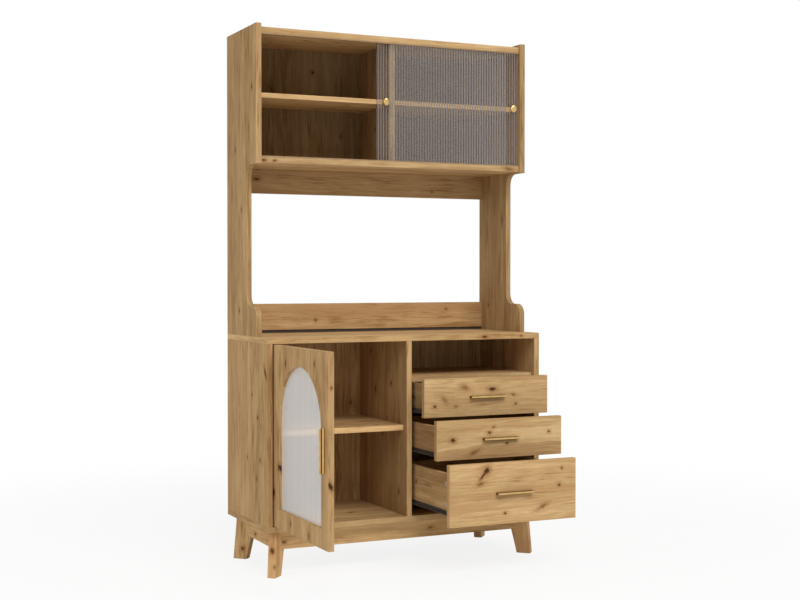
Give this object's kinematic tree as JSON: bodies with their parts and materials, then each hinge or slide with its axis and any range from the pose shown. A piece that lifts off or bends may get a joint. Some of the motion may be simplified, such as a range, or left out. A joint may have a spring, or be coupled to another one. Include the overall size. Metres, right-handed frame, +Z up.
{
  "type": "kitchen buffet cabinet",
  "caption": "Tall oak-effect kitchen buffet: base cabinet with an arched glass door, niche and drawers, and an open hutch with ribbed sliding glass doors above.",
  "frame": {"origin": "on the floor, under the middle of the base cabinet's plan", "axes": "+X to the right seen from the front, +Y to the back, +Z up"},
  "size_m": [1, 0.854, 1.783],
  "materials": {
    "oak_board": "satin oak-effect board",
    "back_panel": "printed oak-effect hardboard",
    "drawer_box": "wrapped oak-effect board",
    "drawer_base": "thin hardboard",
    "reeded_glass": "clear glass with vertical ribs",
    "brushed_gold": "brushed gold",
    "runner_steel": "dark epoxy coat",
    "pivot_steel": "zinc plated",
    "clip_plastic": "moulded, translucent white",
    "slot_black": "matt black",
    "track_oak": "extruded strip in the boards' oak tone"
  },
  "bodies": {
    "carcase": {"base_bottom_board": "oak_board", "base_top_board": "oak_board", "base_left_side": "oak_board", "base_right_side": "oak_board", "base_divider": "oak_board", "base_back_panel": "back_panel", "base_left_shelf": "oak_board", "drawer_bay_shelf": "oak_board", "leg_front_left": "oak_board", "leg_front_right": "oak_board", "leg_rear_left": "oak_board", "leg_rear_right": "oak_board", "apron_front": "oak_board", "apron_right": "oak_board", "apron_rear": "oak_board", "apron_left": "oak_board", "hutch_left_side": "oak_board", "hutch_right_side": "oak_board", "hutch_top_board": "oak_board", "hutch_bottom_board": "oak_board", "hutch_divider": "oak_board", "hutch_left_shelf": "oak_board", "hutch_right_shelf": "oak_board", "hutch_back_panel": "back_panel", "hutch_upper_rail": "oak_board", "hutch_lower_rail": "oak_board", "cable_slot_strip": "slot_black", "glass_track_bottom": "track_oak", "glass_track_top": "track_oak", "hinge_pivots": "pivot_steel", "cabinet_rails": "runner_steel"},
    "door": {"door_leaf": "oak_board", "door_glass": "reeded_glass", "door_glass_clips": "clip_plastic", "door_handle": "brushed_gold"},
    "left_sliding_door": {"left_pane": "reeded_glass", "left_pane_knob": "brushed_gold"},
    "right_sliding_door": {"right_pane": "reeded_glass", "right_pane_knob": "brushed_gold"},
    "drawer_1": {"drawer_1_front": "oak_board", "drawer_1_left_side": "drawer_box", "drawer_1_right_side": "drawer_box", "drawer_1_back": "drawer_box", "drawer_1_bottom": "drawer_base", "drawer_1_runners": "runner_steel", "drawer_1_handle": "brushed_gold"},
    "drawer_2": {"drawer_2_front": "oak_board", "drawer_2_left_side": "drawer_box", "drawer_2_right_side": "drawer_box", "drawer_2_back": "drawer_box", "drawer_2_bottom": "drawer_base", "drawer_2_runners": "runner_steel", "drawer_2_handle": "brushed_gold"},
    "drawer_3": {"drawer_3_front": "oak_board", "drawer_3_left_side": "drawer_box", "drawer_3_right_side": "drawer_box", "drawer_3_back": "drawer_box", "drawer_3_bottom": "drawer_base", "drawer_3_runners": "runner_steel", "drawer_3_handle": "brushed_gold"}
  },
  "joints": [
    {"name": "door_hinge", "type": "hinge", "parent": "carcase", "child": "door", "pos_m": [-0.471, -0.195, 0.4585], "axis": [0, 0, -1], "range_deg": [-90, 20]},
    {"name": "drawer_1_slide", "type": "slide", "parent": "carcase", "child": "drawer_1", "axis": [0, -1, 0], "range_m": [-0.09, 0.19]},
    {"name": "drawer_2_slide", "type": "slide", "parent": "carcase", "child": "drawer_2", "axis": [0, -1, 0], "range_m": [-0.18, 0.1]},
    {"name": "drawer_3_slide", "type": "slide", "parent": "carcase", "child": "drawer_3", "axis": [0, -1, 0], "range_m": [-0.27, 0.01]},
    {"name": "left_glass_slide", "type": "slide", "parent": "carcase", "child": "left_sliding_door", "axis": [1, 0, 0], "range_m": [-0.419, 0.042]},
    {"name": "right_glass_slide", "type": "slide", "parent": "carcase", "child": "right_sliding_door", "axis": [1, 0, 0], "range_m": [-0.461, 0]}
  ]
}
